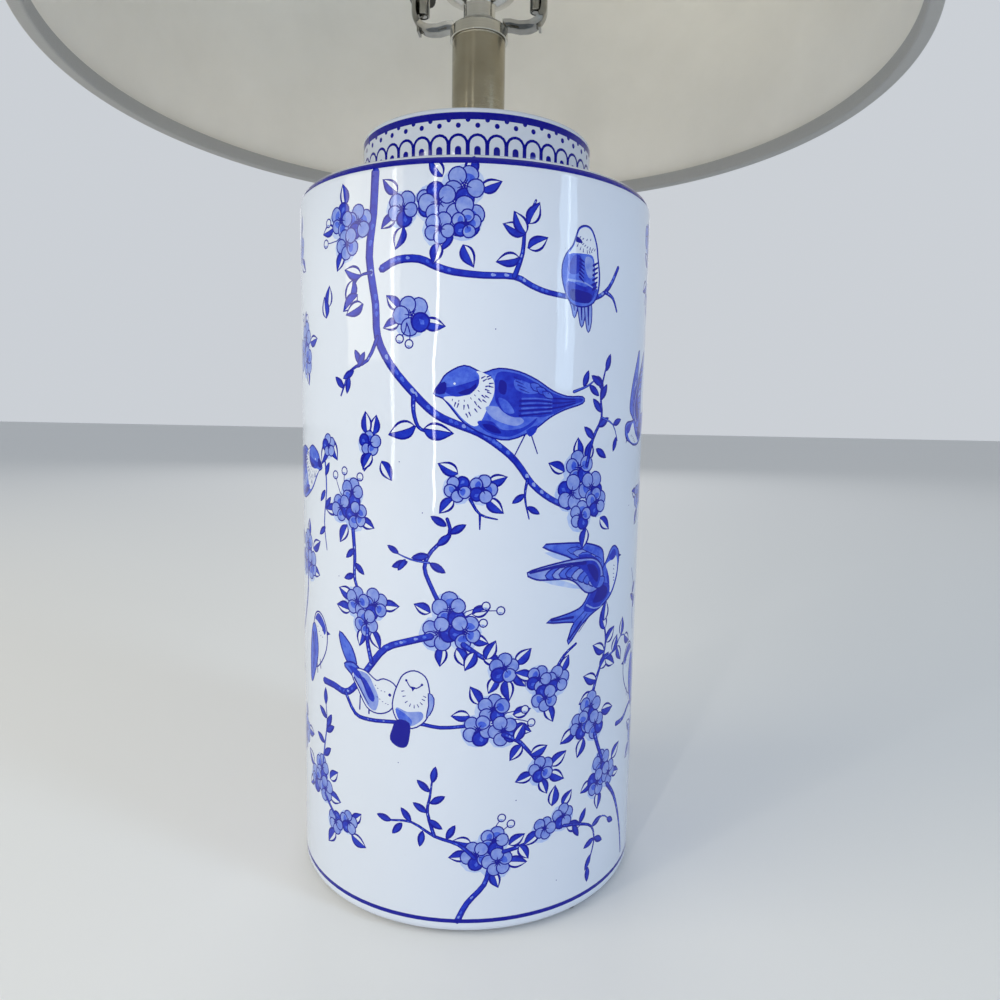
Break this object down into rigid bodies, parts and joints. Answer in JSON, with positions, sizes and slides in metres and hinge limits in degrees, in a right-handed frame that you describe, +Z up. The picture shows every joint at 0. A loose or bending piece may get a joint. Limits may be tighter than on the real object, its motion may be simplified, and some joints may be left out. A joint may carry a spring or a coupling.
{
  "type": "table lamp",
  "caption": "Tall cylindrical ginger jar table lamp with blue and white bird and blossom decoration, metal neck, wire harp and an off-white fabric drum shade.",
  "frame": {"origin": "centre of the foot pads' underside, where the jar's axis meets the table", "axes": "+Z up along the jar's axis; the harp stands in the XZ plane; the lead inlet is at the back, on +Y"},
  "size_m": [0.3853, 0.3854, 0.6466],
  "materials": {
    "glazed_jar": "white glaze with painted cobalt blue decoration",
    "pad_rubber": "matt black rubber",
    "plain_steel": "zinc-plated",
    "neck_nickel": "brushed nickel, grained round the tube",
    "cap_nickel": "polished nickel",
    "harp_nickel": "bright nickel plate",
    "socket_nickel": "bright nickel plate",
    "liner_board": "pressed fibre board",
    "block_phenolic": "moulded phenolic",
    "contact_brass": "plain brass",
    "knob_black": "moulded black",
    "bulb_frost": "inside-frosted glass",
    "bulb_metal": "drawn aluminium",
    "bulb_black": "black glass button",
    "bulb_solder": "soldered tip",
    "shade_fabric": "off-white woven cover",
    "shade_backing": "white styrene backing",
    "trim_fabric": "folded fabric tape",
    "ring_steel": "white powder coat",
    "finial_nickel": "polished nickel"
  },
  "bodies": {
    "base": {"jar_body": "glazed_jar", "foot_pads": "pad_rubber", "lead_inlet": "pad_rubber", "threaded_rod": "plain_steel", "bottom_seal": "pad_rubber", "bottom_washer": "plain_steel", "bottom_lock_washer": "plain_steel", "rod_nut": "plain_steel", "neck_seat": "cap_nickel", "neck_tube": "neck_nickel", "neck_cap": "cap_nickel", "harp_saddle": "harp_nickel", "harp": "harp_nickel", "harp_stud": "harp_nickel", "saddle_lock_washer": "plain_steel", "socket_cap": "socket_nickel", "socket_shell": "socket_nickel", "socket_liner": "liner_board", "switch_block": "block_phenolic", "terminal_screws": "contact_brass", "screw_shell": "contact_brass", "centre_contact": "contact_brass"},
    "switch": {"switch_shaft": "contact_brass", "switch_knob": "knob_black"},
    "left_sleeve": {"left_sleeve": "harp_nickel"},
    "right_sleeve": {"right_sleeve": "harp_nickel"},
    "bulb_lift": {"bulb_tip": "bulb_solder"},
    "bulb": {"bulb_button": "bulb_black", "bulb_base": "bulb_metal", "bulb_glass": "bulb_frost"},
    "shade": {"shade_cover": "shade_fabric", "shade_backing": "shade_backing", "shade_bottom_ring": "ring_steel", "shade_top_ring": "ring_steel", "shade_bottom_trim": "trim_fabric", "shade_top_trim": "trim_fabric", "spider_washer": "ring_steel", "spider_arms": "ring_steel"},
    "finial_lift": {"finial_insert": "contact_brass"},
    "finial": {"finial_knob": "finial_nickel"}
  },
  "joints": [
    {"name": "switch_turn", "type": "hinge", "parent": "base", "child": "switch", "pos_m": [0, 0, 0.4243], "axis": [-0.8829, 0.4695, 0], "continuous": true},
    {"name": "left_sleeve_slide", "type": "slide", "parent": "base", "child": "left_sleeve", "axis": [0, 0, 1], "range_m": [0, 0.012]},
    {"name": "right_sleeve_slide", "type": "slide", "parent": "base", "child": "right_sleeve", "axis": [0, 0, 1], "range_m": [0, 0.012]},
    {"name": "bulb_lift", "type": "slide", "parent": "base", "child": "bulb_lift", "axis": [0, 0, 1], "range_m": [0, 0.01814]},
    {"name": "bulb_turn", "type": "hinge", "parent": "bulb_lift", "child": "bulb", "pos_m": [0, 0, 0.45], "axis": [0, 0, 1], "range_deg": [0, 1800]},
    {"name": "shade_turn", "type": "hinge", "parent": "base", "child": "shade", "pos_m": [0, 0, 0.6], "axis": [0, 0, 1], "continuous": true},
    {"name": "finial_lift", "type": "slide", "parent": "base", "child": "finial_lift", "axis": [0, 0, 1], "range_m": [0, 0.00752]},
    {"name": "finial_turn", "type": "hinge", "parent": "finial_lift", "child": "finial", "pos_m": [0, 0, 0.62], "axis": [0, 0, 1], "range_deg": [0, 2880]}
  ],
  "couplings": [
    {"joint": "bulb_turn", "follows": "bulb_lift", "rad_per_m": 1731.6},
    {"joint": "finial_turn", "follows": "finial_lift", "rad_per_m": 6684.2}
  ]
}
